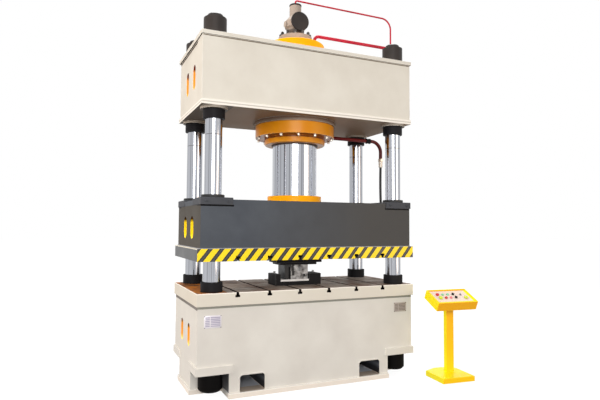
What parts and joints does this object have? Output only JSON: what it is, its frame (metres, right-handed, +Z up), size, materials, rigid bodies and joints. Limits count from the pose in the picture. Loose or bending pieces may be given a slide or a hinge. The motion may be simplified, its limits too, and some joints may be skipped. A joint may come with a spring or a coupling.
{
  "type": "hydraulic press",
  "caption": "Four-column hydraulic press with a sliding ram platen, T-slotted bed and table, overhead cylinder with prefill valve and a separate control pedestal.",
  "frame": {"origin": "centre of the press foot on the floor, under the ram axis", "axes": "+Z up along the ram axis, +X to the right along the front, -Y towards the operator"},
  "size_m": [3.0489, 1.6156, 4.3549],
  "materials": {
    "cream_paint": "satin",
    "machined_steel": "machined, oily",
    "chrome_steel": "hard chrome",
    "dark_steel": "blackened",
    "black_steel": "satin",
    "bolt_steel": "blackened",
    "yellow_paint": "gloss",
    "orange_paint": "gloss",
    "seal_rubber": "matte",
    "valve_iron": "painted",
    "red_paint": "gloss",
    "zinc_steel": "plated",
    "hose_rubber": "matte",
    "grey_paint": "satin",
    "platen_paint": "satin, hazard stripes in front",
    "bronze": "satin",
    "bright_steel": "ground",
    "plate_aluminium": "satin",
    "pedestal_paint": "gloss",
    "panel_paint": "satin",
    "red_plastic": "gloss",
    "green_plastic": "gloss",
    "black_plastic": "gloss",
    "lime_plastic": "gloss",
    "pink_plastic": "gloss"
  },
  "bodies": {
    "frame": {"bed_weldment": "cream_paint", "bed_table": "machined_steel", "crown_weldment": "cream_paint", "column_front_left": "chrome_steel", "column_front_right": "chrome_steel", "column_rear_left": "chrome_steel", "column_rear_right": "chrome_steel", "top_nuts": "dark_steel", "bottom_nuts": "dark_steel", "crown_collars": "black_steel", "bed_collars": "black_steel", "cylinder_barrel": "yellow_paint", "cylinder_ring_nut": "orange_paint", "cylinder_gland": "orange_paint", "gland_screws": "bolt_steel", "rod_seal": "seal_rubber", "prefill_valve_body": "valve_iron", "prefill_cap": "black_steel", "prefill_port_cover": "black_steel", "prefill_side_cover": "valve_iron", "prefill_bolts": "bolt_steel", "pilot_pipe": "red_paint", "pressure_pipe": "red_paint", "pipe_unions": "bolt_steel", "pipe_clamp": "black_steel", "return_pipe": "red_paint", "return_union": "black_steel", "hose_fitting": "zinc_steel", "return_hose": "hose_rubber", "hose_outlet": "zinc_steel", "lower_die": "black_steel", "die_insert": "bright_steel", "die_guide_pins": "bright_steel", "nameplates": "plate_aluminium", "pedestal_stand": "pedestal_paint", "control_box": "pedestal_paint", "control_panel": "panel_paint"},
    "slide": {"slide_box": "grey_paint", "slide_platen": "platen_paint", "guide_flanges": "grey_paint", "guide_bushes": "bronze", "guide_wipers": "seal_rubber", "guide_flange_screws": "bolt_steel", "main_ram": "chrome_steel", "ram_flange": "yellow_paint", "ram_flange_screws": "bolt_steel", "upper_die_plates": "black_steel", "upper_die_block": "bright_steel"},
    "emergency_stop_body": {"emergency_stop_button": "red_plastic"},
    "pump_start_body": {"pump_start_button": "green_plastic"},
    "slide_up_body": {"slide_up_button": "green_plastic"},
    "mode_selector_body": {"mode_selector": "black_plastic"},
    "key_switch_body": {"key_switch": "bright_steel"},
    "left_hand_body": {"left_hand_button": "lime_plastic"},
    "pump_stop_body": {"pump_stop_button": "red_plastic"},
    "slide_down_body": {"slide_down_button": "pink_plastic"},
    "speed_selector_body": {"speed_selector": "black_plastic"},
    "right_hand_body": {"right_hand_button": "lime_plastic"}
  },
  "joints": [
    {"name": "slide_travel", "type": "slide", "parent": "frame", "child": "slide", "axis": [0, 0, 1], "range_m": [0, 0.5]},
    {"name": "emergency_stop_press", "type": "slide", "parent": "frame", "child": "emergency_stop_body", "axis": [0.0386, 0.4161, -0.9085], "range_m": [0, 0.006], "stiffness_N_per_m": 300, "springref_m": -0.006},
    {"name": "pump_start_press", "type": "slide", "parent": "frame", "child": "pump_start_body", "axis": [0.0386, 0.4161, -0.9085], "range_m": [0, 0.006], "stiffness_N_per_m": 300, "springref_m": -0.006},
    {"name": "slide_up_press", "type": "slide", "parent": "frame", "child": "slide_up_body", "axis": [0.0386, 0.4161, -0.9085], "range_m": [0, 0.006], "stiffness_N_per_m": 300, "springref_m": -0.006},
    {"name": "mode_selector_turn", "type": "hinge", "parent": "frame", "child": "mode_selector_body", "pos_m": [1.5717, -0.86134, 0.92372], "axis": [-0.0386, -0.4161, 0.9085], "range_deg": [-60, 0]},
    {"name": "key_switch_turn", "type": "hinge", "parent": "frame", "child": "key_switch_body", "pos_m": [1.65897, -0.88403, 0.91704], "axis": [-0.0386, -0.4161, 0.9085], "range_deg": [-90, 0]},
    {"name": "left_hand_press", "type": "slide", "parent": "frame", "child": "left_hand_body", "axis": [0.0386, 0.4161, -0.9085], "range_m": [0, 0.006], "stiffness_N_per_m": 300, "springref_m": -0.006},
    {"name": "pump_stop_press", "type": "slide", "parent": "frame", "child": "pump_stop_body", "axis": [0.0386, 0.4161, -0.9085], "range_m": [0, 0.006], "stiffness_N_per_m": 300, "springref_m": -0.006},
    {"name": "slide_down_press", "type": "slide", "parent": "frame", "child": "slide_down_body", "axis": [0.0386, 0.4161, -0.9085], "range_m": [0, 0.006], "stiffness_N_per_m": 300, "springref_m": -0.006},
    {"name": "speed_selector_turn", "type": "hinge", "parent": "frame", "child": "speed_selector_body", "pos_m": [1.56724, -0.92023, 0.89656], "axis": [-0.0386, -0.4161, 0.9085], "range_deg": [-60, 0]},
    {"name": "right_hand_press", "type": "slide", "parent": "frame", "child": "right_hand_body", "axis": [0.0386, 0.4161, -0.9085], "range_m": [0, 0.006], "stiffness_N_per_m": 300, "springref_m": -0.006}
  ]
}
